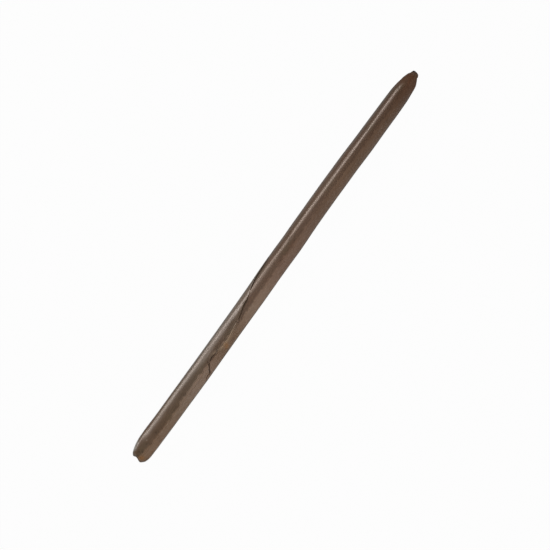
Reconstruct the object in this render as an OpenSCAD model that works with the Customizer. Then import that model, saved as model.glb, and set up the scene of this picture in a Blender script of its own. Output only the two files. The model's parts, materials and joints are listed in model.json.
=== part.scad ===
// A natural charcoal stick: a carbonised twig with its pith, wood, inner bark and outer rind.
// The stick lies along X, with its pointed tip at +X and its blunt butt at -X.
// It rests on a worn flat at z = 0, and the origin is under the middle of its length.

/* [Stick] */
// Length from the butt to the snapped tip
stick_length = 150; // [135:1:180]
// Diameter over the rind
stick_d = 6.6; // [5.6:0.1:9]
// Width of the flat that the stick rests on
rest_w = 2.4; // [1.6:0.1:2.8]

/* [Layers] */
// Thickness of the outer rind
rind_t = 0.55; // [0.5:0.05:0.8]
// Thickness of the inner bark under the rind
bark_t = 0.35; // [0.2:0.05:0.6]
// Diameter of the pith
pith_d = 1.1; // [0.6:0.1:1.4]
// Depth by which the pith has shrunk into each end
pith_sink = 0.5; // [0.4:0.1:2]

/* [Tip] */
// Length of the rounded taper behind the nub
tip_run = 9; // [5:0.5:14]
// Diameter of the snapped nub of wood
nub_d = 2.3; // [2:0.1:2.8]
// Offset of the nub from the stick's axis, towards -Y
nub_y = 0.4; // [0:0.05:0.4]
// Length of the nub past the rind
nub_len = 1.6; // [1:0.1:4]
// Slant of the snapped face, in degrees from square
snap_slant = 14; // [0:1:20]
// Thickness of bark and rind together around the nub
tip_lip = 0.3; // [0.2:0.05:0.8]

/* [Butt] */
// Length of the rounded taper at the butt
butt_run = 8.5; // [5:0.5:14]
// Diameter of the wood that shows at the butt
butt_wood_d = 2.3; // [1.8:0.1:2.8]
// Thickness of bark and rind together around that wood
butt_lip = 0.45; // [0.3:0.05:0.8]
// Diameter of the bite broken out of the butt
bite_d = 3.2; // [2:0.1:5]
// Depth of the bite
bite_depth = 0.65; // [0.3:0.05:2]
// Offset of the bite from the stick's axis
bite_y = 0.9; // [0:0.1:1.5]

/* [Seam] */
// Distance from the tip to the near end of the rind's seam
seam_start = 73; // [60:1:80]
// Length of the seam along the stick
seam_run = 44; // [30:1:50]
// Length by which one rind laps the other, along the stick
lap_w = 2.5; // [1.5:0.1:4]
// Open gap of the seam, along the stick
seam_gap = 0.6; // [0.3:0.1:1.2]

/* [Shrinkage] */
// Length of the two shrunken flats above the butt
flat_run = 34; // [20:1:40]
// Depth of the flats at the butt
flat_depth = 0.25; // [0.05:0.05:0.3]

/* [Hidden] */

stick_r = stick_d / 2;
bark_r = stick_r - rind_t;
wood_r = bark_r - bark_t;
lap_r = stick_r - rind_t / 2;
pith_r = pith_d / 2;
nub_r = nub_d / 2;
axis_z = sqrt(stick_r * stick_r - rest_w * rest_w / 4);

tip_x = stick_length / 2;
butt_x = -tip_x;
mouth_x = tip_x - nub_len;
seam_x = tip_x - seam_start;

round_fn = 96;
taper_steps = 10;
seam_steps = 4;
margin = 2;

// The seam seen from above, from the +Y side to the -Y side.
// Each point is a share of the seam's length and a share of the stick's radius.
seam_shape = [
    [0.00, 1.20], [0.20, 0.92], [0.30, 0.70], [0.40, 0.30], [0.53, -0.07], [0.67, -0.40],
    [0.75, -0.28], [0.83, -0.12], [0.88, -0.18], [0.94, -0.70], [1.00, -1.20]
];

// Directions that the two flats face, in degrees from straight up, towards -Y
flat_turns = [-9, 33];

function reversed(points) = [for (i = [len(points) - 1 : -1 : 0]) points[i]];

// How far a surface of this radius lies through the bark and rind, from 0 to 1
function skin_share(r) = (r - wood_r) / (stick_r - wood_r);

// A quarter ellipse of [radius, x] points, from the straight body to the mouth of an end
function taper(r, mouth_r, base_x, run) = [
    for (i = [0 : taper_steps])
        let (turn = 90 * i / taper_steps)
        [mouth_r + (r - mouth_r) * cos(turn), base_x + run * sin(turn)]
];

// The lengthwise profile of one layer's surface, from the butt's mouth to the tip's
function profile(r) = concat(
    reversed(taper(r, butt_wood_d / 2 + butt_lip * skin_share(r), butt_x + butt_run, -butt_run)),
    taper(r, nub_r + tip_lip * skin_share(r), mouth_x - tip_run, tip_run)
);

// A smooth curve through four neighbouring points, from the second to the third
function curve_at(p0, p1, p2, p3, t) = (
    2 * p1 + (p2 - p0) * t
    + (2 * p0 - 5 * p1 + 4 * p2 - p3) * t * t
    + (3 * p1 - p0 - 3 * p2 + p3) * t * t * t
) / 2;

function smooth(points) = let (last = len(points) - 1) concat(
    [
        for (i = [0 : last - 1], s = [0 : seam_steps - 1])
            curve_at(
                points[max(i - 1, 0)],
                points[i],
                points[i + 1],
                points[min(i + 2, last)],
                s / seam_steps
            )
    ],
    [points[last]]
);

function seam_line(shift) = [
    for (p = smooth(seam_shape))
        [seam_x + shift - p[0] * seam_run, p[1] * stick_r]
];

// The stick's outline from above on the side of the seam that holds end_x
module side_of_seam(end_x, shift) {
    line = seam_line(shift);
    edge_y = line[0][1];
    polygon(concat(line, [[end_x, -edge_y], [end_x, edge_y]]));
}

module tip_side(shift) {
    side_of_seam(tip_x + margin, shift);
}

module butt_side(shift) {
    side_of_seam(butt_x - margin, shift);
}

module turned_along_x(points) {
    translate([0, 0, axis_z])
        rotate([0, 90, 0])
            rotate_extrude($fn = round_fn)
                polygon(points);
}

module shell(r_in, r_out) {
    turned_along_x(concat(profile(r_out), reversed(profile(r_in))));
}

// A length of shell cut to a plan outline, and cut flat at z = 0 where the stick rests
module rind_band(r_in, r_out) {
    intersection() {
        shell(r_in, r_out);
        linear_extrude(stick_d)
            children();
    }
}

// The upright scoop that is broken out of every layer at the butt
module bite() {
    translate([butt_x + bite_depth - bite_d / 2, bite_y, -margin])
        cylinder(d = bite_d, h = stick_d + 2 * margin, $fn = round_fn);
}

// What lies past the snapped face of the nub
module past_snap() {
    translate([tip_x - nub_r * sin(snap_slant), -nub_y, axis_z])
        rotate([0, 0, -snap_slant])
            translate([0, -stick_r, -stick_r])
                cube([margin, stick_d, stick_d]);
}

// What lies outside one flat, which deepens evenly from nothing to flat_depth at the butt
module outside_flat(turn) {
    translate([butt_x + flat_run, 0, axis_z])
        rotate([turn, 0, 0])
            translate([0, 0, stick_r])
                rotate([0, -atan(flat_depth / flat_run), 0])
                    translate([-flat_run - margin, -stick_r, 0])
                        cube([flat_run + margin, stick_d, stick_r]);
}

module pith() {
    color("#2b2420")
        difference() {
            translate([butt_x + pith_sink, 0, axis_z])
                rotate([0, 90, 0])
                    cylinder(r = pith_r, h = stick_length - 2 * pith_sink, $fn = round_fn);
            translate([pith_sink, 0, 0])
                bite();
        }
}

// The broken stub of wood that stands out of the bark's mouth
module nub() {
    translate([mouth_x, -nub_y, axis_z])
        rotate([0, 90, 0])
            cylinder(r = nub_r, h = nub_len, $fn = round_fn);
}

module pith_bore() {
    translate([butt_x - margin, 0, axis_z])
        rotate([0, 90, 0])
            cylinder(r = pith_r, h = stick_length + 2 * margin, $fn = round_fn);
}

module wood() {
    color("#40332a")
        difference() {
            union() {
                turned_along_x(concat(profile(wood_r), [[0, mouth_x], [0, butt_x]]));
                nub();
            }
            pith_bore();
            past_snap();
            bite();
        }
}

module inner_bark() {
    color("#7d5530")
        difference() {
            shell(wood_r, bark_r);
            bite();
        }
}

module upper_rind() {
    color("#57422f") {
        rind_band(lap_r, stick_r)
            tip_side(seam_gap / 2);
        rind_band(bark_r, lap_r)
            tip_side(seam_gap / 2 - lap_w);
    }
}

module lower_rind() {
    color("#6d5a4a")
        difference() {
            union() {
                rind_band(lap_r, stick_r)
                    butt_side(-seam_gap / 2);
                rind_band(bark_r, lap_r)
                    butt_side(-seam_gap / 2 - lap_w);
            }
            bite();
            for (turn = flat_turns)
                outside_flat(turn);
        }
}

pith();
wood();
inner_bark();
upper_rind();
lower_rind();
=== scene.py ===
import bmesh
import bpy
import json
import math
import numpy as np
import random
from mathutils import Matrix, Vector, noise


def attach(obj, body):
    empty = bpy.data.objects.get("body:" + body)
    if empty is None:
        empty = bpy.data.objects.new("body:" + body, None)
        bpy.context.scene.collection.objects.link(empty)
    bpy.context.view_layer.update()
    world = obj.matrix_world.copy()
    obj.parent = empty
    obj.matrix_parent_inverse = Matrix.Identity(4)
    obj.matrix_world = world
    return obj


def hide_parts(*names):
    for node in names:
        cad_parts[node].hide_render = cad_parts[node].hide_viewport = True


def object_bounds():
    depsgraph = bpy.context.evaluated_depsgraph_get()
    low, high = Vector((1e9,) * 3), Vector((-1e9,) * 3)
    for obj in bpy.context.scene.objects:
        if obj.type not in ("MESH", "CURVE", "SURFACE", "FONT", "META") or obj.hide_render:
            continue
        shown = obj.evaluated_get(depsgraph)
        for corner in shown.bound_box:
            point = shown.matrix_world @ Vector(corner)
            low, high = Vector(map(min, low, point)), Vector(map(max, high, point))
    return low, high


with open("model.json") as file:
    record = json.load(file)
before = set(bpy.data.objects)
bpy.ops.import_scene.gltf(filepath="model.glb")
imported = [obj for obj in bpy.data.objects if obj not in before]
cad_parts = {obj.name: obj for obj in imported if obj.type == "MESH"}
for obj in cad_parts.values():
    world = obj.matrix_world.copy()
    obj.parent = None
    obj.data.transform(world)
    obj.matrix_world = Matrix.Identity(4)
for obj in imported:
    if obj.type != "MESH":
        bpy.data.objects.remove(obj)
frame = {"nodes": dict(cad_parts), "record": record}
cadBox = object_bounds()
mm = 0.001
gripMount = next(m for m in frame["record"]["mounts"] if m["name"] == "holder_grip")
axisZ = gripMount["pos_m"][2] / mm
tipX = cadBox[1].x / mm
buttX = cadBox[0].x / mm
print("frame loaded:", ", ".join(sorted(frame["nodes"])))

# The stick as a whole, in mm: x along it, from the butt at -75 to the tip at 75
stick = {
    "radius": gripMount["dims"]["r_mm"],
    "halfLength": 75.0,
    "mouthX": tipX - 1.6,  # the bark ends here and the snapped nub goes on
    # how far the stick's axis strays towards +Y
    "wander": [(-75, 0.02), (-74.3, -0.01), (-73.5, -0.09), (-72, -0.045), (-70, 0.105), (-67, 0.14),
               (-60, 0.0), (-51, -0.06), (-41, -0.13), (-30, -0.115), (-25, -0.09), (-18, -0.09),
               (-10, -0.04), (0, 0.10), (3, 0.10), (8.4, 0.03), (14.7, 0.16), (21, 0.235), (27, 0.235),
               (33, 0.21), (40, 0.14), (46, 0.0), (54, -0.09), (62, -0.17), (66.2, -0.195), (68.2, -0.225),
               (69.3, -0.27), (70.2, -0.325), (71.6, -0.31), (73.2, -0.19), (75, -0.18)],
    # the radius over the rind, before the faces and the shoulder
    "girth": [(-75, 1.62), (-74.4, 2.22), (-73, 2.77), (-71, 3.14), (-69, 3.315), (-66.5, 3.36),
              (-60, 3.35), (-50, 3.38), (-40, 3.39), (-26, 3.35), (-12, 3.41), (4, 3.50), (20, 3.40),
              (36, 3.38), (48, 3.35), (56, 3.28), (64, 3.19), (66.2, 3.12), (68.4, 2.90), (70.2, 2.64),
              (71.3, 2.44), (72.4, 2.02), (73, 1.74), (73.4, 1.52)],
    # how much of their thickness the layers keep towards the ends
    "layerScale": [(-75, 0.5), (-70, 0.8), (-64, 1), (62, 1), (70, 0.7), (72.4, 0.42), (73.4, 0.18)],
    # the butt's broken end, as seen from above: y, and how far it is bitten back
    "buttBite": [(-1.7, 0.12), (-1.2, 0.0), (-0.8, 0.10), (-0.2, 0.38), (0.45, 0.6), (0.95, 0.65),
                 (1.35, 0.5), (1.7, 0.42)],
    "biteReach": 3.5,
    # two shrunken faces: the way each faces, in degrees from the top towards +Y, its depth, and the
    # radius that it is bowed to
    "faces": [
        {"turn": [(-75, 7), (-71, 7), (-68, 8), (-63, 4), (-57, -2), (-50, -3), (-45, 2), (-37, 10),
                  (-31, 10.5), (-24, 14), (-18, 12), (-10, 8.5), (-5, 6.5), (3, 10), (20, 12), (75, 12)],
         "bow": [(-75, 28), (-71, 20), (-68, 9), (-63, 5.8), (-57, 5.2), (-50, 5.2), (-45, 5.5), (-37, 6.8),
                 (-31, 6.4), (-24, 6.6), (-18, 5.4), (-5, 4.6), (75, 4.6)],
         "depth": [(-75, 0.40), (-69, 0.35), (-12, 0.35), (3, 0.19), (12, 0.09), (22, 0.03), (30, 0),
                   (75, 0)]},
        {"turn": [(-75, -34), (75, -34)], "bow": [(-75, 30), (75, 30)],
         "depth": [(-75, 0.32), (-40, 0.30), (-15, 0.26), (0, 0.16), (12, 0.09), (30, 0), (75, 0)]},
    ],
    "faceBlend": 0.12,
    # the swollen shoulder beside the faces
    "shoulder": {"turn": 58, "width": 18,
                 "height": [(-75, 0.28), (-72, 0.40), (-70, 0.36), (-68, 0.28), (-63, 0.20), (-57, 0.32),
                            (-50, 0.32), (-45, 0.25), (-37, 0.19), (-24, 0.17), (-18, 0.15), (-8, 0.06),
                            (3, 0.03), (15, 0), (75, 0)]},
    # a slight twist of the section: how fast the radius grows towards +Y, in mm per radian, and the
    # twist's own turn, in radians
    "swayTurn": 0.9,
    "sway": [(-75, 0), (-68, -0.04), (-62, -0.05), (-52, -0.04), (-34, -0.03), (-28, 0), (-22, 0.05),
             (-17, 0.16), (-12, 0.15), (-6, 0.04), (2, 0), (12, -0.02), (20, -0.12), (34, -0.10),
             (42, -0.06), (46, 0), (54, 0.09), (62, 0.13), (66, 0.19), (69, 0.21), (73, 0.05), (75, 0)],
    # where the paler side begins, in degrees from the top
    "paleSideEdge": [(-75, 10), (-74.2, 8), (-73, 1), (-71, -9), (-69, -14), (-66, -18), (-56, -17), (-53, -15),
                (-50, -6), (-46.5, -10), (-43.5, -4), (-41, -8), (-39, -10), (-36, -13), (-33, -14),
                (-31, -10), (-27, -11), (-24.5, -20), (-22.5, -21), (-20.5, -19), (-19, -16), (-17.5, -11),
                (-15, -13), (-8, -13), (6, -11), (20, -9), (75, -9)],
    # a grey band of painted sheen along the lit +Y side: its share
    "paintedSheen": [(-75, 0.8), (-73.5, 1.0), (-70, 1.0), (-67.5, 0.2), (-65, 0.0), (-62, 0.1), (-50, 0.3),
             (-38, 0.6), (-27, 0.9), (-18, 0.6), (-6, 0.4), (20, 0.25), (60, 0.3), (72, 0)],
    # ridges, a slow waviness and a fine grain: noise along, noise across, its seed and its height
    "wrinkles": [(0.07, 4.2, 3.1, 0.014), (0.11, 0.9, 17.3, 0.034), (0.35, 7.0, 41.7, 0.005)],
    # how deep the inner bark and the wood lie under the skin
    "barkDepth": 0.60,
    "woodDepth": 0.90,
}

# The slanting seam. Each row is x, its turn from the top in degrees, its lap, its open width, how much
# painted shade darkens it, how far its upper lip stands up, how far that painted shade reaches and how
# pale the lip is painted, part wear and part painted highlight.
# A lap of 1 puts the lower rind on top and -1 the upper one. A width below 0 closes the seam.
seam = {
    "line": [(-44.5, -90, 0, 0, 0, 0, 0.5, 0), (-43.4, -90, 0.15, 0, 0, 0, 0.5, 0),
             (-42.8, -84, 0.5, 0, 0.1, 0, 0.5, 0), (-42.1, -68, 1, 0, 0.2, 0.01, 0.5, 0),
             (-41.5, -55, 1, 0.03, 0.3, 0.02, 0.5, 0), (-40.7, -50, 1, 0.05, 0.4, 0.02, 0.5, 0),
             (-40, -51, 1, 0.08, 0.5, 0.03, 0.6, 0), (-39.5, -49.5, 1, 0.12, 0.7, 0.03, 0.7, 0),
             (-38.5, -32.5, 1, 0.16, 0.85, 0.03, 0.7, 0), (-37.5, -16.7, 1, 0.14, 0.8, 0.03, 0.6, 0),
             (-36.9, -12, 1, 0.10, 0.8, 0.03, 0.5, 0), (-36.6, -9.8, 1, -0.10, 0.2, 0, 0.4, 0),
             (-36.2, -7.8, 1, 0.14, 0.85, 0.03, 0.5, 0), (-34.5, -3.1, 1, 0.11, 0.7, 0.04, 0.7, 0.25),
             (-33.5, -7.2, 1, 0.10, 0.6, 0.04, 0.6, 0.5), (-32.8, -9.8, 0.6, 0.06, 0.5, 0.05, 0.6, 0.6),
             (-31.9, -10.6, -0.6, 0, 0.4, 0.07, 1.0, 0.7), (-31.1, -13, -1, 0, 0.45, 0.09, 1.2, 0.85),
             (-30.2, -15.6, -1, 0, 0.45, 0.10, 1.25, 0.9), (-28.7, -16, -1, 0, 0.5, 0.10, 1.25, 0.9),
             (-27.2, -16.4, -1, 0, 0.5, 0.09, 1.25, 0.85), (-26.2, -13.4, -1, 0, 0.45, 0.06, 1.1, 0.6),
             (-24.7, -7, -1, 0, 0.4, 0.03, 0.9, 0.5), (-23.1, -2.2, -0.8, 0, 0.35, 0.02, 0.7, 0.5),
             (-22.0, -0.6, -0.6, 0, 0.35, 0.01, 0.6, 0.45), (-21.3, -2.6, 0.3, 0.02, 0.5, 0.03, 0.6, 0),
             (-20.4, -1.8, 0.9, 0.08, 0.7, 0.04, 0.8, 0), (-18.8, 5.6, 1, 0.09, 0.6, 0.04, 0.6, 0),
             (-17.5, 13.0, 1, 0.13, 0.75, 0.05, 0.65, 0), (-16, 20.2, 1, 0.15, 0.85, 0.05, 0.7, 0),
             (-14, 25.6, 1, 0.15, 0.85, 0.05, 0.75, 0), (-13, 28.0, 1, 0.03, 0.4, 0.04, 0.75, 0),
             (-12.3, 30.6, 0.8, -0.08, 0.15, 0.02, 0.7, 0), (-11.8, 37, 0.6, -0.2, 0, 0, 0.4, 0),
             (-11.1, 42, 0.6, -0.2, 0.2, 0, 0.4, 0), (-10.4, 45.6, 0.9, 0.14, 0.75, 0.02, 0.5, 0),
             (-8.5, 53.8, 1, 0.28, 1, 0.03, 0.7, 0), (-6, 62.8, 1, 0.36, 1, 0.05, 1.1, 0),
             (-3.5, 69, 1, 0.32, 1, 0.05, 1.5, 0), (-1, 72, 1, 0.2, 1, 0.04, 1.5, 0),
             (0.6, 77, 1, 0.1, 0.8, 0.02, 1.0, 0), (1.2, 83, 0.9, 0.05, 0.5, 0, 0.6, 0),
             (2.2, 90, 0.5, 0, 0.3, 0, 0.5, 0), (3.5, 90, 0, 0, 0, 0, 0.5, 0)],
    "ragged": 0.03,
    "tears": [(0.9, 1.0, 23.0), (2.3, 0.5, 61.0)],  # noise along, its share and its seed
    "raggedFrom": (-43, -41),
    "raggedTo": (1, -3),
    "lapWidth": 0.7,
    "lip": 0.20,  # thickness of a rind's edge
    "clear": 0.03,
    "tuck": 0.10,  # half the run over which a sheet dips under the other's lip
    # heights above the ground of a hidden edge and of the inner wall
    "underFloor": 0.13,
    "wallFloor": 0.08,
}


def follow(points, x):
    # a smooth curve through listed points
    px, py = np.array(sorted(points), float).T
    slope = np.gradient(py, px)
    k = np.clip(np.searchsorted(px, x) - 1, 0, len(px) - 2)
    span = px[k + 1] - px[k]
    t = np.clip((x - px[k]) / span, 0, 1)
    return (
        py[k] * (1 + 2 * t) * (1 - t) ** 2 + slope[k] * span * t * (1 - t) ** 2
        + py[k + 1] * t * t * (3 - 2 * t) + slope[k + 1] * span * t * t * (t - 1)
    )


def straight(points, x):
    px, py = np.array(sorted(points), float).T
    return np.interp(x, px, py)


def ease(low, high, value):
    t = np.clip((value - low) / (high - low), 0, 1)
    return t * t * (3 - 2 * t)


def softMin(a, b, blend):
    h = np.clip(0.5 + 0.5 * (b - a) / blend, 0, 1)
    return b * (1 - h) + a * h - blend * h * (1 - h)


def noiseAt(x, y, z, seed):
    return np.array([noise.noise(Vector((a + seed, b, c))) for a, b, c in zip(x, y, z)])


def degreesFromTop(turn):
    return np.degrees(np.angle(np.exp(1j * turn)))


def faceDepth(face, x):
    return np.maximum(straight(face["depth"], x), 1e-4)


def faceRadius(face, x, turn):
    # how far a bowed face lies from the stick's axis
    away = turn - np.radians(follow(face["turn"], x))
    bow = follow(face["bow"], x)
    middle = follow(stick["girth"], x) - faceDepth(face, x) - bow
    return middle * np.cos(away) + np.sqrt(bow ** 2 - (middle * np.sin(away)) ** 2)


def skinRadius(x, turn):
    shoulder = stick["shoulder"]
    away = degreesFromTop(turn) - shoulder["turn"]
    swelling = straight(shoulder["height"], x) * np.exp(-(away / shoulder["width"]) ** 2)
    r = follow(stick["girth"], x) + swelling
    for face in stick["faces"]:
        r = softMin(r, faceRadius(face, x, turn), stick["faceBlend"] * faceDepth(face, x))
    twist = np.sin(2 * turn - stick["swayTurn"]) - math.sin(math.pi - stick["swayTurn"])
    return r + straight(stick["sway"], x) / 2 * twist


def sunkAt(x, turn):
    # how far the shrunken faces press the inner layers in
    return np.maximum(follow(stick["girth"], x) - skinRadius(x, turn), 0)


def wrinkles(x, turn):
    y, z = np.sin(turn), np.cos(turn)
    return sum(noiseAt(x * along, y * across, z * across, seed) * height
               for along, across, seed, height in stick["wrinkles"])


def place(x, turn, r, lowest):
    y = follow(stick["wander"], x) + r * np.sin(turn)
    z = np.maximum(axisZ + r * np.cos(turn), lowest)
    return np.stack([x, y, z], 1) * mm


def biteAt(x, y):
    back = follow(stick["buttBite"], y)
    return back * ease(buttX + stick["biteReach"], buttX, x)


def stationsAlong(spacing):
    # x of each ring, from a list of places and the ring spacing wanted there
    fineSteps = 4000
    xs = np.linspace(spacing[0][0], spacing[-1][0], fineSteps)
    density = 1 / straight(spacing, xs)
    count = np.concatenate([[0], np.cumsum((density[1:] + density[:-1]) / 2 * np.diff(xs))])
    return np.interp(np.linspace(0, count[-1], int(round(count[-1])) + 1), count, xs)


weld = 1e-7  # points of a mesh that lie closer than this, in metres, are one


def finishPiece(name, bm, material, node, sharp=48):
    for f in bm.faces:
        f.smooth = True
    mesh = bpy.data.meshes.new(name)
    bm.to_mesh(mesh)
    bm.free()
    mesh.set_sharp_from_angle(angle=math.radians(sharp))
    mesh.materials.append(material)
    piece = bpy.data.objects.new(name, mesh)
    bpy.context.scene.collection.objects.link(piece)
    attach(piece, "root")
    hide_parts(node)
    print("made", name, "with", len(mesh.polygons), "faces")


# Shader sums as Python expressions
class Wire:
    def __init__(self, sheet, socket):
        self.sheet = sheet
        self.socket = socket

    def __add__(self, other):
        return self.sheet.maths("ADD", self, other)

    def __sub__(self, other):
        return self.sheet.maths("SUBTRACT", self, other)

    def __rsub__(self, other):
        return self.sheet.maths("SUBTRACT", other, self)

    def __mul__(self, other):
        return self.sheet.maths("MULTIPLY", self, other)

    def __truediv__(self, other):
        return self.sheet.maths("DIVIDE", self, other)

    __radd__ = __add__
    __rmul__ = __mul__


class Sheet:
    def __init__(self, name, world=None):
        self.material = world or bpy.data.materials.new(name)
        self.material.use_nodes = True
        self.tree = self.material.node_tree
        self.tree.nodes.clear()

    def node(self, kind, settings, values, out=0):
        made = self.tree.nodes.new(kind)
        for key, value in settings.items():
            if key == "stops":
                ramp = made.color_ramp
                while len(ramp.elements) < len(value):
                    ramp.elements.new(0.5)
                for element, (at, colour) in zip(ramp.elements, value):
                    element.position = at
                    element.color = (*colour, 1)
            else:
                setattr(made, key, value)
        for key, value in values.items():
            if isinstance(value, Wire):
                self.tree.links.new(value.socket, made.inputs[key])
            else:
                made.inputs[key].default_value = value
        return Wire(self, made.outputs[out]) if len(made.outputs) else made

    def maths(self, operation, *terms):
        return self.node("ShaderNodeMath", {"operation": operation}, dict(enumerate(terms)))

    def clamp01(self, value):
        return self.node("ShaderNodeClamp", {}, {"Value": value})

    def between(self, low, high, value):
        settings = {"interpolation_type": "SMOOTHSTEP"}
        values = {"Value": value, "From Min": low, "From Max": high}
        return self.node("ShaderNodeMapRange", settings, values)

    def blend(self, share, first, second):
        values = {0: share, 6: first, 7: second}
        return self.node("ShaderNodeMix", {"data_type": "RGBA"}, values, 2)

    def shade(self, colour, factor):
        # a colour made darker or lighter by a value
        return self.node("ShaderNodeVectorMath", {"operation": "SCALE"}, {0: colour, "Scale": factor})

    def level(self, at, levels):
        # a value that follows listed levels
        stops = [(k, (v, v, v)) for k, v in levels]
        return self.node("ShaderNodeValToRGB", {"stops": stops}, {"Fac": at}, "Color")

    def stretched(self, along, across):
        # object coordinates in mm, squeezed so that a pattern runs along the stick
        at = self.node("ShaderNodeTexCoord", {}, {}, "Object")
        scale = (along / mm, across / mm, across / mm)
        return self.node("ShaderNodeMapping", {}, {"Vector": at, "Scale": scale})

    def grain(self, along, across, detail, rough, shift):
        settings = {"noise_dimensions": "4D"}
        values = {"Vector": self.stretched(along, across), "W": shift, "Scale": 1.0, "Detail": detail,
                  "Roughness": rough}
        return self.node("ShaderNodeTexNoise", settings, values)

    def spot(self, x, y, size):
        # 1 at a place on the top of the stick, 0 beyond its size
        at = self.node("ShaderNodeTexCoord", {}, {}, "Object")
        rise = math.sqrt(float(follow(stick["girth"], x)) ** 2 - y ** 2)
        centre = (x * mm, y * mm, (axisZ + rise) * mm)
        far = self.node("ShaderNodeVectorMath", {"operation": "DISTANCE"}, {0: at, 1: centre}, "Value")
        return self.between(size * mm, 0.0, far)

    def alongX(self):
        at = self.node("ShaderNodeTexCoord", {}, {}, "Object")
        return self.node("ShaderNodeSeparateXYZ", {}, {0: at}, "X") / mm

    def attribute(self, name):
        return self.node("ShaderNodeAttribute", {"attribute_name": name}, {}, "Fac")

    def bump(self, height, strength, distance):
        values = {"Height": height, "Strength": strength, "Distance": distance * mm}
        return self.node("ShaderNodeBump", {}, values)

    def surface(self, values):
        shader = self.node("ShaderNodeBsdfPrincipled", {}, values)
        self.node("ShaderNodeOutputMaterial", {}, {"Surface": shader})
        return self.material


# What both rinds' finishes share. Each grain is its noise along, its noise across, detail, roughness
# and seed, and each edge is the noise at which a mark begins and is full.
rindGrain = {
    "patches": (0.10, 0.28, 3.0, 0.55, 1.3), "stainEdge": (0.25, 0.5),
    "fibres": (0.16, 5.5, 3.0, 0.6, 4.1),
    "pores": (1.6, 4.4, 1.0, 0.5, 7.7), "poreEdge": (0.70, 0.76), "poreShare": 0.5,
    "warm": (0.16, 0.42, 2.0, 0.5, 9.2), "warmEdge": (0.50, 0.72),
    "olive": (0.13, 0.36, 2.0, 0.5, 12.6), "oliveEdge": (0.54, 0.74),
    "paleSideMix": 0.85,
    "patchRough": 0.20, "fibreRough": 0.08, "creviceRough": 0.4, "wornRough": 0.3,
    "fibreHeight": 0.7, "poreHeight": 0.3, "bumpStrength": 0.25, "bumpDepth": 0.03, "coatRough": 0.34,
}


def rindFinish(name, spec):
    # satin charred bark: mottled brown, grained along the stick, with painted shade in the cracks
    s = Sheet(name)
    g = rindGrain
    along = (s.alongX() + stick["halfLength"]) / (2 * stick["halfLength"])
    tone = s.node("ShaderNodeValToRGB", {"stops": spec["tone"]}, {"Fac": along}, "Color")
    paleSide = s.node("ShaderNodeValToRGB", {"stops": spec["paleSide"]}, {"Fac": along}, "Color")
    patches = s.grain(*g["patches"])
    fibres = s.grain(*g["fibres"])
    pores = s.grain(*g["pores"])
    warm = s.between(*g["warmEdge"], s.grain(*g["warm"]))
    olive = s.between(*g["oliveEdge"], s.grain(*g["olive"]))
    colour = s.blend(warm * spec["warmShare"], tone, (*spec["warm"], 1))
    colour = s.blend(olive * spec["oliveShare"], colour, (*spec["olive"], 1))
    colour = s.blend(s.attribute("rubbed") * g["paleSideMix"], colour, paleSide)
    # the pale lip: part wear, part painted highlight where the lip's edge catches the key lamp
    wearAndHighlight = s.clamp01(s.attribute("worn"))
    colour = s.blend(wearAndHighlight, colour, (*spec["worn"], 1))
    # painted sheen: a pale grey laid over the +Y side, where the key lamp grazes
    colour = s.blend(s.attribute("dusty"), colour, (*spec["paintedSheen"], 1))
    # stains, and spots of painted highlight and painted light
    for px, py, size, share, spotColour in spec["stainsAndLitSpots"]:
        spread = s.spot(px, py, size) * s.between(*g["stainEdge"], patches) * share
        colour = s.blend(spread, colour, (*spotColour, 1))
    light = 1.0 + (patches - 0.5) * spec["mottle"] + (fibres - 0.5) * spec["streak"]
    colour = s.shade(colour, light)
    specks = s.between(*g["poreEdge"], pores)
    colour = s.blend(specks * g["poreShare"], colour, (*spec["soot"], 1))
    # the crevice share paints shade, in the soot colour, into the seam, the pits, the dents and the inner
    # walls
    crevice = s.attribute("crevice")
    colour = s.blend(s.clamp01(crevice), colour, (*spec["soot"], 1))
    dull = s.level(along, spec["rough"])
    dull = dull + (patches - 0.5) * g["patchRough"] + (fibres - 0.5) * g["fibreRough"]
    rough = s.clamp01(dull + crevice * g["creviceRough"] + wearAndHighlight * g["wornRough"])
    height = fibres * g["fibreHeight"] + pores * g["poreHeight"]
    return s.surface({
        "Base Color": colour, "Roughness": rough,
        "Normal": s.bump(height, g["bumpStrength"], g["bumpDepth"]),
        "Specular IOR Level": spec["gloss"], "Specular Tint": (*spec["glint"], 1),
        "Coat Weight": s.clamp01(s.level(along, spec["shine"]) - crevice - wearAndHighlight),
        "Coat Roughness": g["coatRough"],
    })


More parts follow.
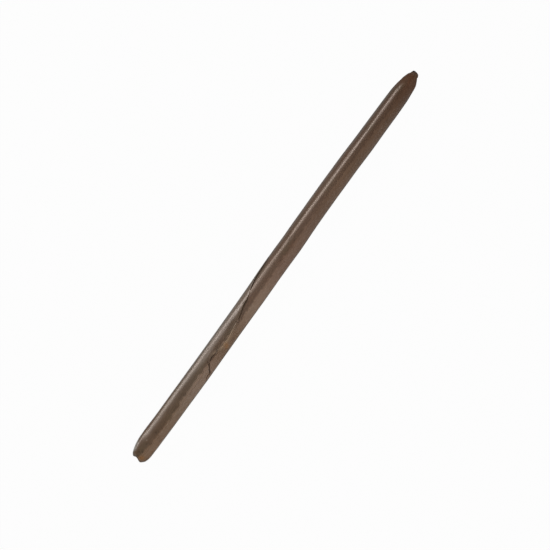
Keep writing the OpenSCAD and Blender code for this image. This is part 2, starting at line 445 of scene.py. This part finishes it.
# Tones, paler sides, roughness and shine stand at shares of the length, from the butt to the tip. A spot
# is its x, y, size, share and colour, and is a stain unless a comment says it is painted light.
upperFinish = {
    "tone": [(0.30, (0.126, 0.079, 0.052)), (0.50, (0.122, 0.074, 0.048)), (0.63, (0.124, 0.073, 0.047)),
             (0.75, (0.106, 0.061, 0.037)), (0.87, (0.089, 0.049, 0.029)), (0.94, (0.079, 0.041, 0.023)),
             (0.99, (0.101, 0.044, 0.022))],
    "paleSide": [(0.25, (0.238, 0.153, 0.104)), (0.29, (0.190, 0.115, 0.070)), (0.34, (0.190, 0.117, 0.072)),
            (0.37, (0.235, 0.152, 0.102)), (0.40, (0.258, 0.173, 0.120)), (0.50, (0.200, 0.124, 0.087)),
            (0.57, (0.186, 0.115, 0.078)), (0.65, (0.156, 0.095, 0.062)), (0.75, (0.164, 0.099, 0.062)),
            (0.83, (0.150, 0.091, 0.058)), (0.89, (0.130, 0.076, 0.047)), (0.94, (0.104, 0.056, 0.034)),
            (0.98, (0.114, 0.060, 0.036))],
    "warm": (0.130, 0.062, 0.036), "warmShare": 0.40,
    "olive": (0.100, 0.072, 0.036), "oliveShare": 0.40,
    "worn": (0.275, 0.19, 0.125), "paintedSheen": (0.23, 0.20, 0.17),
    "stainsAndLitSpots": [(-29.6, -1.85, 1.7, 0.8, (0.30, 0.13, 0.035))],
    # the soot colour darkens the pores and is the painted shade in the crevices
    "soot": (0.029, 0.016, 0.008),
    "mottle": 0.35, "streak": 0.35, "gloss": 0.38, "glint": (1.0, 0.89, 0.81),
    "rough": [(0.951, 0.34), (0.965, 0.60)],
    "shine": [(0.40, 0.70), (0.42, 0.42), (0.437, 0.68), (0.47, 0.48), (0.57, 0.45), (0.62, 0.72),
              (0.72, 0.8), (0.85, 0.93), (0.92, 0.90), (0.951, 0.80), (0.965, 0.0)],
}
lowerFinish = {
    "tone": [(0.0, (0.136, 0.083, 0.051)), (0.015, (0.121, 0.071, 0.041)), (0.10, (0.112, 0.067, 0.038)),
             (0.18, (0.119, 0.078, 0.049)), (0.24, (0.112, 0.077, 0.049)), (0.30, (0.121, 0.079, 0.052)),
             (0.40, (0.120, 0.076, 0.047))],
    "paleSide": [(0.01, (0.208, 0.126, 0.074)), (0.05, (0.208, 0.127, 0.077)), (0.10, (0.208, 0.133, 0.084)),
            (0.15, (0.235, 0.158, 0.107)), (0.19, (0.275, 0.188, 0.134)), (0.25, (0.250, 0.163, 0.112))],
    "warm": (0.130, 0.068, 0.042), "warmShare": 0.35,
    "olive": (0.106, 0.078, 0.044), "oliveShare": 0.45,
    "worn": (0.275, 0.19, 0.125), "paintedSheen": (0.23, 0.20, 0.17),
    "stainsAndLitSpots": [(-73.6, -1.1, 1.5, 0.5, (0.34, 0.14, 0.035)),
               (-74.2, 0.0, 1.1, 0.45, (0.34, 0.14, 0.035)),
               # painted highlight: two pale grey spots on the butt's shoulder; the pale brown spot on the
               # next line is painted light on the end, which faces away from the lamps
               (-72.2, 2.6, 1.5, 0.85, (0.48, 0.46, 0.42)), (-70.6, 2.8, 1.6, 0.55, (0.46, 0.44, 0.40)),
               (-74.3, 1.6, 1.4, 0.6, (0.28, 0.23, 0.18)), (-67.9, 1.13, 0.5, 0.8, (0.42, 0.35, 0.29))],
    # the soot colour darkens the pores and is the painted shade in the crevices
    "soot": (0.029, 0.016, 0.008),
    "mottle": 0.38, "streak": 0.35, "gloss": 0.38, "glint": (1.0, 1.0, 1.0),
    "rough": [(0.0, 0.34), (1.0, 0.34)],
    "shine": [(0.0, 0.75), (1.0, 0.75)],
}


barkGrain = {
    "strands": (0.25, 7.0, 3.0, 0.6, 2.2), "strandShare": 0.8,
    "patches": (0.3, 0.6, 2.0, 0.5, 5.0), "patchShare": 0.2,
    "tone": [(0.30, (0.045, 0.020, 0.009)), (0.50, (0.13, 0.062, 0.024)), (0.72, (0.24, 0.125, 0.050))],
    "rough": 0.72, "patchRough": 0.3, "bumpStrength": 0.8, "bumpDepth": 0.06, "gloss": 0.3,
}


def innerBarkFinish():
    s = Sheet("innerBarkFibre")
    g = barkGrain
    strands = s.grain(*g["strands"])
    patches = s.grain(*g["patches"])
    mixed = strands * g["strandShare"] + patches * g["patchShare"]
    colour = s.node("ShaderNodeValToRGB", {"stops": g["tone"]}, {"Fac": mixed}, "Color")
    return s.surface({
        "Base Color": colour, "Roughness": s.clamp01(g["rough"] + (patches - 0.5) * g["patchRough"]),
        "Normal": s.bump(strands, g["bumpStrength"], g["bumpDepth"]), "Specular IOR Level": g["gloss"],
    })


woodGrain = {
    "strands": (0.5, 6.0, 4.0, 0.6, 3.4), "strandShare": 0.55, "strandHeight": 0.6,
    "chars": (0.9, 1.1, 3.0, 0.6, 8.8), "charShare": 0.45, "charHeight": 0.4,
    "tone": [(0.28, (0.045, 0.024, 0.015)), (0.46, (0.086, 0.046, 0.028)), (0.75, (0.135, 0.082, 0.048))],
    # the soot colour is the painted shade in the chips and the bore, and the nub's dark corner
    "soot": (0.010, 0.009, 0.009),
    "rough": 0.62, "charRough": 0.5, "bumpStrength": 0.8, "bumpDepth": 0.08, "gloss": 0.35,
}


def charredWoodFinish():
    s = Sheet("charredWood")
    g = woodGrain
    strands = s.grain(*g["strands"])
    chars = s.grain(*g["chars"])
    mixed = strands * g["strandShare"] + chars * g["charShare"]
    colour = s.node("ShaderNodeValToRGB", {"stops": g["tone"]}, {"Fac": mixed}, "Color")
    # the crevice share paints shade into the chips and the bore, and darkens the nub's corner
    colour = s.blend(s.clamp01(s.attribute("crevice")), colour, (*g["soot"], 1))
    height = strands * g["strandHeight"] + chars * g["charHeight"]
    return s.surface({
        "Base Color": colour, "Roughness": s.clamp01(g["rough"] + (chars - 0.5) * g["charRough"]),
        "Normal": s.bump(height, g["bumpStrength"], g["bumpDepth"]), "Specular IOR Level": g["gloss"],
    })


pithGrain = {
    "cells": (2.2, 4.5),  # how close the cells lie along and across
    "soot": (2.0, 3.0, 2.0, 0.5, 6.1),
    "tone": [(0.1, (0.050, 0.038, 0.028)), (0.55, (0.022, 0.016, 0.012)), (0.9, (0.007, 0.006, 0.005))],
    "rough": 0.9, "sootRough": 0.15, "bumpStrength": 0.9, "bumpDepth": 0.10, "gloss": 0.2,
}


def pithFinish():
    s = Sheet("pithSponge")
    g = pithGrain
    values = {"Vector": s.stretched(*g["cells"]), "Scale": 1.0}
    cells = s.node("ShaderNodeTexVoronoi", {"feature": "F1"}, values, "Distance")
    soot = s.grain(*g["soot"])
    colour = s.node("ShaderNodeValToRGB", {"stops": g["tone"]}, {"Fac": cells}, "Color")
    return s.surface({
        "Base Color": colour, "Roughness": s.clamp01(g["rough"] + (soot - 0.5) * g["sootRough"]),
        "Normal": s.bump(1.0 - cells, g["bumpStrength"], g["bumpDepth"]), "Specular IOR Level": g["gloss"],
    })


upperSkin = rindFinish("upperRindSkin", upperFinish)
lowerSkin = rindFinish("lowerRindSkin", lowerFinish)
barkFibre = innerBarkFinish()
charred = charredWoodFinish()
sponge = pithFinish()
print("finishes made")


def seamAt(x):
    line = seam["line"]
    turn = follow([(p[0], math.radians(p[1])) for p in line], x)
    tear = sum(share * noiseAt(x * along, 0 * x, 0 * x, seed) for along, share, seed in seam["tears"])
    inside = ease(*seam["raggedFrom"], x) * ease(*seam["raggedTo"], x)
    turn = np.clip(turn + seam["ragged"] * tear * inside, -math.pi / 2, math.pi / 2)
    return turn, *(straight([(p[0], p[k]) for p in line], x) for k in (2, 3, 4, 5, 6, 7))


# What both rinds share: their marks, in mm from the seam and in degrees from the top
rindMarks = {
    "mouth": {"from": 70, "depth": 0.25, "noise": 1.6, "seed": 8.2},  # the jagged edge round the nub
    # the runs here shape the pale lip, part wear and part painted highlight, and how far inside an upper
    # lip the inner wall's painted shade comes in
    "fadeReach": 0.9, "lipRun": (0.2, 1.2), "wearHighlightRun": (1.2, 0.4), "wearHighlightUnder": 0.5, "wallShadeRun": 0.8,
    # a pock's soot is painted shade in its dent
    "pock": {"inset": 2, "reach": 3, "long": (0.35, 0.9), "wide": (0.22, 0.38), "depth": (0.015, 0.05),
             "soot": 8},
    "paleSide": {"soft": 7, "end": (-95, -45), "jag": 9, "noise": 0.7, "seed": 71.0},
    # where the painted sheen rises and falls, in degrees from the top
    "paintedSheenRise": (46, 64), "paintedSheenFall": (130, 95),
}


def mouthEnd(x, turn, r):
    mouth = rindMarks["mouth"]
    jag = noiseAt(0 * x, np.sin(turn) * mouth["noise"], np.cos(turn) * mouth["noise"], mouth["seed"])
    return x + mouth["depth"] * jag * ease(mouth["from"], stick["mouthX"], x)


def buttEnd(x, turn, r):
    return x + biteAt(x, follow(stick["wander"], x) + r * np.sin(turn))


def rindSheet(name, spec, material, node):
    # the rind is a sheet rolled round the stick, which opens along the seam into a tongue
    side = spec["side"]
    marks = rindMarks
    radius = stick["radius"]
    rings = stationsAlong(spec["spacing"])
    bm = bmesh.new()
    crevice = bm.verts.layers.float.new("crevice")
    rubbed = bm.verts.layers.float.new("rubbed")
    worn = bm.verts.layers.float.new("worn")
    dusty = bm.verts.layers.float.new("dusty")
    wallShade = bm.verts.layers.float.new("wallShade")
    wall = bm.verts.layers.float_vector.new("wall")
    bmesh.ops.create_grid(bm, x_segments=len(rings) - 1, y_segments=spec["columns"], size=1)
    verts = list(bm.verts)
    row = np.rint(np.array([v.co.x + 1 for v in verts]) / 2 * (len(rings) - 1)).astype(int)
    across = np.array([v.co.y for v in verts])

    seamTurn, lap, gap, seamShade, lift, shade, pale = seamAt(rings)
    slant = 1 / np.hypot(1, np.gradient(seamTurn, rings) * radius)
    under = np.maximum(lap * side, 0)
    over = np.maximum(-lap * side, 0)
    seamHalf = math.pi / 2 + side * seamTurn - gap / 2 / radius
    half = np.clip(seamHalf + under * seam["lapWidth"] / radius, 0, math.pi)
    x, slant, under, over, seamHalf, half, seamShade, lift, shade, pale = (
        a[row] for a in (rings, slant, under, over, seamHalf, half, seamShade, lift, shade, pale))

    # own is the distance from the seam, below 0 where the sheet goes on under the other's lip
    reach = np.sign(across) * (1 - (1 - np.abs(across)) ** spec["crowd"])
    turn = -side * math.pi / 2 + half * reach
    own = (seamHalf - half * np.abs(reach)) * radius * slant
    hidden = under * ease(seam["tuck"], -seam["tuck"], own)
    drop = hidden * (seam["lip"] + spec["otherRound"] - lift + seam["clear"])
    r = skinRadius(x, turn) + wrinkles(x, turn)
    dip = spec["dip"] * under * pale * ease(spec["dipReach"], 0, own)
    r = r - np.maximum(dip, drop)
    rounded = spec["round"] * np.clip(1 - own / spec["roundReach"], 0, 1) ** 2
    r = r + over * (lift * ease(spec["riseReach"], 0, own) - rounded)

    # painted shade in the seam, in the pits and along the spur that runs off the corner of the seam
    # near a pale lip the painted shade eases off and the sheet beneath is painted lighter
    fade = spec["lipFade"] * pale * under * ease(marks["fadeReach"], 0, own)
    dark = seamShade * under * ease(1, 0, own / shade) * (1 - fade)
    y = follow(stick["wander"], x) + r * np.sin(turn)
    top = np.cos(turn) > 0
    for px, py, size, depth, soot in spec["pits"]:
        dent = np.exp(-((x - px) ** 2 + (y - py) ** 2) / size ** 2) * top
        r = r - depth * dent
        dark = dark + soot * dent
    for (ax, ay), (bx, by), width, depth in spec["spurs"]:
        goX, goY = bx - ax, by - ay
        t = np.clip(((x - ax) * goX + (y - ay) * goY) / (goX ** 2 + goY ** 2), 0, 1)
        far = np.hypot(x - ax - t * goX, y - ay - t * goY)
        cut = ease(width, 0, far) * top
        r = r - depth * cut
        dark = dark + cut
    # painted shade in small dents, as dark as each dent is deep
    pock = marks["pock"]
    dice = random.Random(spec["seed"])
    for k in range(spec["pocks"]):
        px = dice.uniform(rings[0] + pock["inset"], rings[-1] - pock["inset"])
        pt = dice.uniform(-math.pi, math.pi)
        long, wide, depth = (dice.uniform(*pock[key]) for key in ("long", "wide", "depth"))
        near = np.abs(x - px) < pock["reach"]
        aside = np.angle(np.exp(1j * (turn[near] - pt))) * radius
        dent = np.exp(-((x[near] - px) / long) ** 2 - (aside / wide) ** 2)
        r[near] -= depth * dent
        dark[near] += pock["soot"] * depth * dent

    # both walls of the sheet, and the shares that its finish reads
    thick = straight(stick["layerScale"], x) * spec["thick"]
    full = np.where(under + over > 0, ease(*marks["lipRun"], own), 1)
    thick = seam["lip"] + (thick - seam["lip"]) * full
    x = spec["ends"](x, turn, r)
    lowest = seam["underFloor"] * hidden
    outer = place(x, turn, r, lowest)
    inner = place(x, turn, r - thick, lowest + seam["wallFloor"])
    dark = np.clip(dark, 0, 1)
    paleSideMarks = marks["paleSide"]
    jag = paleSideMarks["jag"] * noiseAt(x * paleSideMarks["noise"], 0 * x, 0 * x, paleSideMarks["seed"])
    fromTop = degreesFromTop(turn)
    aside = fromTop - straight(stick["paleSideEdge"], x) - jag
    paleSide = ease(paleSideMarks["soft"], -paleSideMarks["soft"], aside) * ease(*paleSideMarks["end"], aside)
    # the pale lip, part wear and part painted highlight, spread partly onto the sheet beneath
    lipWearAndHighlight = pale * over * ease(*marks["wearHighlightRun"], own) + marks["wearHighlightUnder"] * fade
    # painted sheen along the +Y side, by the turn from the top
    paintedSheen = straight(stick["paintedSheen"], x) * ease(*marks["paintedSheenRise"], fromTop)
    paintedSheen = paintedSheen * ease(*marks["paintedSheenFall"], fromTop)
    # the inner walls and rims are painted dark as shade, a little lighter just inside an upper lip
    inside = np.where(over > 0.1, seamShade + (1 - seamShade) * ease(0, marks["wallShadeRun"], own), 1)
    for v, point, back, *shares in zip(verts, outer, inner, dark, paleSide, lipWearAndHighlight, paintedSheen, inside):
        v.co = point
        v[wall] = back
        v[crevice], v[rubbed], v[worn], v[dusty], v[wallShade] = shares

    # the inner wall is a copy of the outer one, and the open rims are drawn in to meet it; both take the
    # inner wall's painted shade
    bmesh.ops.remove_doubles(bm, verts=bm.verts[:], dist=weld)
    rims = [e for e in bm.edges if e.is_boundary]
    copied = bmesh.ops.duplicate(bm, geom=bm.verts[:] + bm.edges[:] + bm.faces[:])["geom"]
    drawn = bmesh.ops.extrude_edge_only(bm, edges=rims)["geom"]
    for v in (g for g in copied + drawn if isinstance(g, bmesh.types.BMVert)):
        v.co = v[wall]
        v[crevice] = v[wallShade]
    bmesh.ops.remove_doubles(bm, verts=bm.verts[:], dist=weld)
    bm.verts.layers.float_vector.remove(wall)
    bm.verts.layers.float.remove(wallShade)
    bmesh.ops.recalc_face_normals(bm, faces=bm.faces[:])
    finishPiece(name, bm, material, node)


# Each rind's sheet, whose columns crowd towards the seam. A pit is its x, y, size, depth and painted
# shade, and a spur its two ends, width and depth.
upperRind = {
    "side": 1, "columns": 128, "crowd": 1.35, "thick": 0.5, "dip": 0.0, "dipReach": 0.5,
    "riseReach": 1.2, "lipFade": 0.0, "round": 0.24, "roundReach": 0.45, "otherRound": 0.08,
    "spacing": [(-43.4, 0.30), (-30, 0.30), (2, 0.30), (8, 0.6), (60, 0.6), (68, 0.4), (73.4, 0.15)],
    "pits": [(70.6, 0.6, 0.45, 0.04, 0.3), (67.2, 1.2, 0.3, 0.05, 0.5)], "spurs": [], "pocks": 60,
    "seed": 11, "ends": mouthEnd,
}
lowerRind = {
    "side": -1, "columns": 128, "crowd": 1.35, "thick": 0.5, "dip": 0.28, "dipReach": 1.7,
    "riseReach": 2.2, "lipFade": 1.0, "round": 0.08, "roundReach": 0.25, "otherRound": 0.24,
    "spacing": [(-75, 0.12), (-72, 0.3), (-66, 0.5), (-50, 0.6), (-44, 0.3), (-12, 0.3), (2.1, 0.3)],
    "pits": [(-64.2, 0.1, 0.36, 0.10, 0.75), (-69, 0.38, 0.34, 0.06, 0.5), (-72.5, 0.85, 0.36, 0.10, 0.7),
             (-71.8, 0, 0.34, 0.08, 0.6)],
    "spurs": [((-36.9, -0.1), (-37.6, -1.0), 0.24, 0.16)], "pocks": 45,
    "seed": 12, "ends": buttEnd,
}
rindSheet("upperRind", upperRind, upperSkin, "upper_rind")
rindSheet("lowerRind", lowerRind, lowerSkin, "lower_rind")


def ringTube(rings, segments, shape, closed):
    # a tube with one ring for each station, and a closed one comes back to its first ring
    bm = bmesh.new()
    crevice = bm.verts.layers.float.new("crevice")
    count = len(rings) + (1 if closed else 0)
    bmesh.ops.create_cone(bm, cap_ends=False, segments=segments, radius1=1, radius2=1, depth=1)
    rails = [e for e in bm.edges if abs(e.verts[0].co.z - e.verts[1].co.z) > 0.5]
    bmesh.ops.subdivide_edges(bm, edges=rails, cuts=count - 2, use_grid_fill=True)
    verts = list(bm.verts)
    ring = np.rint(np.array([v.co.z + 0.5 for v in verts]) * (count - 1)).astype(int) % len(rings)
    turn = np.array([math.atan2(v.co.y, v.co.x) for v in verts])
    columns = np.array(rings, float)[ring].T
    points, dark = shape(turn, *columns)
    for v, point, soot in zip(verts, points, dark):
        v.co = point
        v[crevice] = soot
    bmesh.ops.remove_doubles(bm, verts=bm.verts[:], dist=weld)
    bmesh.ops.recalc_face_normals(bm, faces=bm.faces[:])
    return bm


# Charred wood, with the snapped nub. Each ring is x, radius, share of the nub's shape, share of
# the butt's bite, and roughness.
wood = {
    "segments": 96, "bore": 0.56, "nubY": -0.47, "nubTop": 0.63,
    "bodyX": [-74.8, -74.4, -73.8, -73, -72, -70, -67, -60, -50, -40, -30, -20, -10, 0, 10, 20, 30, 40, 50,
              58, 64, 67, 69, 70.5, 71.5, 72.2],
    "bodyRough": 0.01,
    "nub": [(72.8, 1.58), (73.1, 1.50), (73.4, 1.42), (73.55, 1.41), (73.75, 1.42), (74.0, 1.38),
            (74.25, 1.34), (74.5, 1.29), (74.68, 1.22), (74.82, 1.11)],
    "nubFrom": 73.3, "nubRun": 1.2, "nubRough": 0.03,
    "faceX": 74.91, "faceStep": 0.02, "face": [1.0, 0.9, 0.8, 0.7, 0.61], "faceRough": 0.07,
    "boreX": [74.7, 74.4, 74.1, 73.6, 70, 40, 0, -40, -70, -73.6, -74.0, -74.3, -74.6],
    "boreNubX": 73.5, "boreRough": 0.02,
    # the end at the butt: x, radius and roughness, from the bore out
    "buttFace": [(-74.72, 0.62, 0.05), (-74.76, 0.72, 0.06), (-74.8, 0.86, 0.06), (-74.86, 1.0, 0.04)],
    "fibres": (0.5, 3.4, 5.5), "fibreShare": 1.2,  # noise along, noise across and its seed
    "chips": (1.4, 1.9, 31.0), "chipShare": 0.7, "snapChipShare": 1.4, "snapChipX": 74.5,
    "snap": 0.035, "snapCurve": 3.6, "snapRun": (73.4, 74.6),
    # the dark corner of the nub, and the painted shade in the chips and the bore
    "corner": (74.8, 0.42), "cornerRun": (0.60, 0.25), "chipShade": 0.4, "chipRun": (0.05, 0.35),
    "boreShade": 0.7,
}


def woodRings():
    w = wood
    sunk = {x: stick["woodDepth"] * straight(stick["layerScale"], x) for x in w["bodyX"]}
    body = [(x, float(follow(stick["girth"], x) - sunk[x]), 0, 1, w["bodyRough"]) for x in w["bodyX"]]
    nub = [(x, r, min(1, max(0, (x - w["nubFrom"]) / w["nubRun"])), 0, w["nubRough"]) for x, r in w["nub"]]
    tipFace = [(w["faceX"] - w["faceStep"] * k, r, 1, 0, w["faceRough"]) for k, r in enumerate(w["face"])]
    bore = [(x, w["bore"], 1 if x > w["boreNubX"] else 0, 1, w["boreRough"]) for x in w["boreX"]]
    buttFace = [(x, r, 0, 1, rough) for x, r, rough in w["buttFace"]]
    return buttFace[-1:] + body + nub + tipFace + bore + buttFace[:-1]


def woodShape(turn, x, r, nubShare, biteShare, rough):
    w = wood
    along, across, seed = w["fibres"]
    fibres = noiseAt(x * along, np.sin(turn) * across, np.cos(turn) * across, seed)
    along, across, seed = w["chips"]
    chips = noiseAt(x * along, r * np.sin(turn) * across, r * np.cos(turn) * across, seed)
    outer = r > w["bore"] + 0.01
    pressed = sunkAt(x, turn) * (1 - nubShare) * r / follow(stick["girth"], x)
    r = r + np.where(outer, fibres * rough * w["fibreShare"] - pressed, 0)
    centre = follow(stick["wander"], x)
    y = centre + (w["nubY"] - centre) * nubShare * outer + r * np.sin(turn)
    slant = w["snap"] * np.maximum(w["nubTop"] - y, 0) ** w["snapCurve"] * ease(*w["snapRun"], x)
    chipped = chips * rough * np.where(x > w["snapChipX"], w["snapChipShare"], w["chipShare"])
    x = x - nubShare * slant + chipped + biteShare * biteAt(x, y)
    cornerX, cornerY = w["corner"]
    corner = ease(*w["cornerRun"], np.hypot(x - cornerX, y - cornerY))
    groove = ease(*w["chipRun"], -chips) * (rough > w["nubRough"])
    points = np.stack([x, y, axisZ + r * np.cos(turn)], 1) * mm
    return points, np.clip(corner + w["chipShade"] * groove + np.where(outer, 0, w["boreShade"]), 0, 1)


woodTube = ringTube(woodRings(), wood["segments"], woodShape, True)
finishPiece("charredWoodCore", woodTube, charred, "wood", 60)

# Inner bark: a thin fibrous tube that shows in the seam and as a ring at each end
innerBark = {
    "segments": 112, "thick": 0.28, "lowest": 0.15,
    "spacing": [(buttX + 0.06, 0.2), (-70, 0.6), (60, 0.6), (stick["mouthX"] - 0.05, 0.2)],
    "strands": (0.3, 8, 14.0), "strandHeight": 0.03,  # noise along, noise across and its seed
}


def innerBarkRings():
    outer, inner = [], []
    for x in stationsAlong(innerBark["spacing"]):
        scale = straight(stick["layerScale"], x)
        r = float(follow(stick["girth"], x)) - float(stick["barkDepth"] * scale)
        outer.append((x, r, 1))
        inner.append((x, r - innerBark["thick"] * float(scale), 0))
    return outer + inner[::-1]


def innerBarkShape(turn, x, r, outside):
    along, across, seed = innerBark["strands"]
    strands = noiseAt(x * along, np.sin(turn) * across, np.cos(turn) * across, seed)
    r = r + outside * strands * innerBark["strandHeight"] - sunkAt(x, turn)
    y = follow(stick["wander"], x) + r * np.sin(turn)
    z = np.maximum(axisZ + r * np.cos(turn), innerBark["lowest"])
    return np.stack([x + biteAt(x, y), y, z], 1) * mm, 0 * x


barkTube = ringTube(innerBarkRings(), innerBark["segments"], innerBarkShape, True)
finishPiece("innerBarkTube", barkTube, barkFibre, "inner_bark")

# Pith: a spongy core that has shrunk back into both ends
pith = {
    "segments": 40, "radius": 0.545, "sink": 0.5, "rings": 60, "endRun": 0.3,
    "dome": [(0, 0), (0.0, 0.2), (0.02, 0.36), (0.07, 0.47), (0.16, 0.53)],  # how far back, and the radius
    "holes": (2.5, 5, 27.0), "holeDepth": 0.12, "holeRun": (73.6, 74.4),  # noise along, across and its seed
}


def pithRings():
    end = tipX - pith["sink"]
    left = [(-end + back, r) for back, r in pith["dome"]]
    xs = np.linspace(-end + pith["endRun"], end - pith["endRun"], pith["rings"])
    middle = [(float(x), pith["radius"]) for x in xs]
    return left + middle + [(-x, r) for x, r in left[::-1]]


def pithShape(turn, x, r):
    along, across, seed = pith["holes"]
    holes = noiseAt(x * along, r * np.sin(turn) * across, r * np.cos(turn) * across, seed)
    low, high = pith["holeRun"]
    end = np.maximum(ease(low, high, x), ease(-low, -high, x))
    shift = holes * pith["holeDepth"] * end * np.where(r > 0, 1, 0)
    y = follow(stick["wander"], x) + r * np.sin(turn)
    x = x + shift + biteAt(x, y)
    return np.stack([x, y, axisZ + r * np.cos(turn)], 1) * mm, 0 * x


pithTube = ringTube(pithRings(), pith["segments"], pithShape, False)
finishPiece("pithCore", pithTube, sponge, "pith")

# Camera: straight down on the lying stick, turned so that the tip points up to the right
shot = {
    "lens": 120.0, "sensor": 36.0, "frameWidth": 172.66, "frameSize": 550, "lean": 54.335,
    "middle": (275.69, 265.05),  # the pixel that the middle of the stick falls on
}
camData = bpy.data.cameras.new("camera")
camData.lens = shot["lens"]
camData.sensor_width = shot["sensor"]
camera = bpy.data.objects.new("camera", camData)
bpy.context.scene.collection.objects.link(camera)
bpy.context.scene.camera = camera
lean = math.radians(shot["lean"])
imageRight = Vector((math.cos(lean), -math.sin(lean), 0))
imageUp = Vector((math.sin(lean), math.cos(lean), 0))
perPixel = shot["frameWidth"] / shot["frameSize"]
halfFrame = (shot["frameSize"] - 1) / 2
aim = imageRight * ((halfFrame - shot["middle"][0]) * perPixel)
aim += imageUp * ((shot["middle"][1] - halfFrame) * perPixel)
height = axisZ + shot["frameWidth"] * shot["lens"] / shot["sensor"]
camera.location = (aim + Vector((0, 0, height))) * mm
camera.rotation_euler = (0, 0, -lean)

# Floor that sweeps up into a backdrop all round, and lamps
studio = {
    "floorRadius": 2.4, "floorDrop": 0.0001, "sweep": [(2.7, 0.06), (2.9, 0.25), (3.0, 0.6), (3.0, 2.4)],
    "floorColour": (0.3, 0.3, 0.3, 1), "seenWhite": 0.975, "glossyWhite": 0.05, "sky": 0.01,
}
# the warm strip shows only in the rind's gloss, and the wide lamps only light its body colour
lamps = {
    "glossStrip": {"size": (0.86, 0.06), "power": 4.4, "fromTop": 52, "side": 1, "far": 0.8, "along": -0.02,
                   "gloss": True, "colour": (1.0, 0.89, 0.82)},
    "keyFill": {"size": (0.8, 0.3), "power": 4.3, "fromTop": 52, "side": 1, "far": 0.8, "along": 0.0,
                "gloss": False, "colour": (1.0, 1.0, 1.0)},
    "overhead": {"size": (1.4, 1.4), "power": 5.4, "fromTop": 0, "side": 1, "far": 1.2, "along": 0.0,
                 "gloss": False, "colour": (1.0, 1.0, 1.0)},
    "lowFill": {"size": (0.9, 0.3), "power": 5.1, "fromTop": 68, "side": -1, "far": 0.9, "along": 0.0,
                "gloss": False, "colour": (1.0, 1.0, 1.0)},
}
floorMesh = bpy.data.meshes.new("floor")
bm = bmesh.new()
bmesh.ops.create_circle(bm, cap_ends=True, segments=64, radius=studio["floorRadius"])
bmesh.ops.translate(bm, verts=bm.verts[:], vec=(0, 0, -studio["floorDrop"]))
rim = bm.edges[:]
for ringRadius, ringZ in studio["sweep"]:
    grown = bmesh.ops.extrude_edge_only(bm, edges=rim)["geom"]
    rim = [g for g in grown if isinstance(g, bmesh.types.BMEdge)]
    for v in [g for g in grown if isinstance(g, bmesh.types.BMVert)]:
        v.co = Vector((v.co.x, v.co.y, 0)).normalized() * ringRadius + Vector((0, 0, ringZ))
bm.to_mesh(floorMesh)
bm.free()
floor = bpy.data.objects.new("floor", floorMesh)
bpy.context.scene.collection.objects.link(floor)
s = Sheet("paleFloor")
camRay = s.node("ShaderNodeLightPath", {}, {}, "Is Camera Ray")
glossyRay = s.node("ShaderNodeLightPath", {}, {}, "Is Glossy Ray")
clearRay = s.node("ShaderNodeLightPath", {}, {}, "Is Transmission Ray")
white = s.clamp01((camRay + clearRay) * studio["seenWhite"] + glossyRay * studio["glossyWhite"])
matt = s.node("ShaderNodeBsdfDiffuse", {}, {"Color": studio["floorColour"]})
glow = s.node("ShaderNodeEmission", {}, {"Color": (1, 1, 1, 1), "Strength": 1.0})
both = s.node("ShaderNodeMixShader", {}, {0: white, 1: matt, 2: glow})
s.node("ShaderNodeOutputMaterial", {}, {"Surface": both})
floorMesh.materials.append(s.material)

world = bpy.data.worlds.new("studio")
bpy.context.scene.world = world
s = Sheet("studio", world)
sky = s.node("ShaderNodeBackground", {}, {"Color": (1, 1, 1, 1), "Strength": studio["sky"]})
s.node("ShaderNodeOutputWorld", {}, {"Surface": sky})
bpy.context.scene.view_settings.view_transform = "Standard"


def softbox(name, spec):
    data = bpy.data.lights.new(name, "AREA")
    data.shape = "RECTANGLE"
    data.size, data.size_y = spec["size"]
    data.energy = spec["power"]
    data.color = spec["colour"]
    lamp = bpy.data.objects.new(name, data)
    bpy.context.scene.collection.objects.link(lamp)
    fromTop = math.radians(spec["fromTop"])
    across = spec["side"] * spec["far"] * math.sin(fromTop)
    lamp.location = (spec["along"], across, spec["far"] * math.cos(fromTop))
    aimAt = Vector((spec["along"], 0, 0))  # so that a lamp's long side stays along the stick
    lamp.rotation_euler = (aimAt - lamp.location).to_track_quat("-Z", "Y").to_euler()
    lamp.visible_camera = False
    lamp.visible_glossy = spec["gloss"]
    lamp.visible_diffuse = not spec["gloss"]


for lampName, lampSpec in lamps.items():
    softbox(lampName, lampSpec)
print("camera, floor and lamps set")
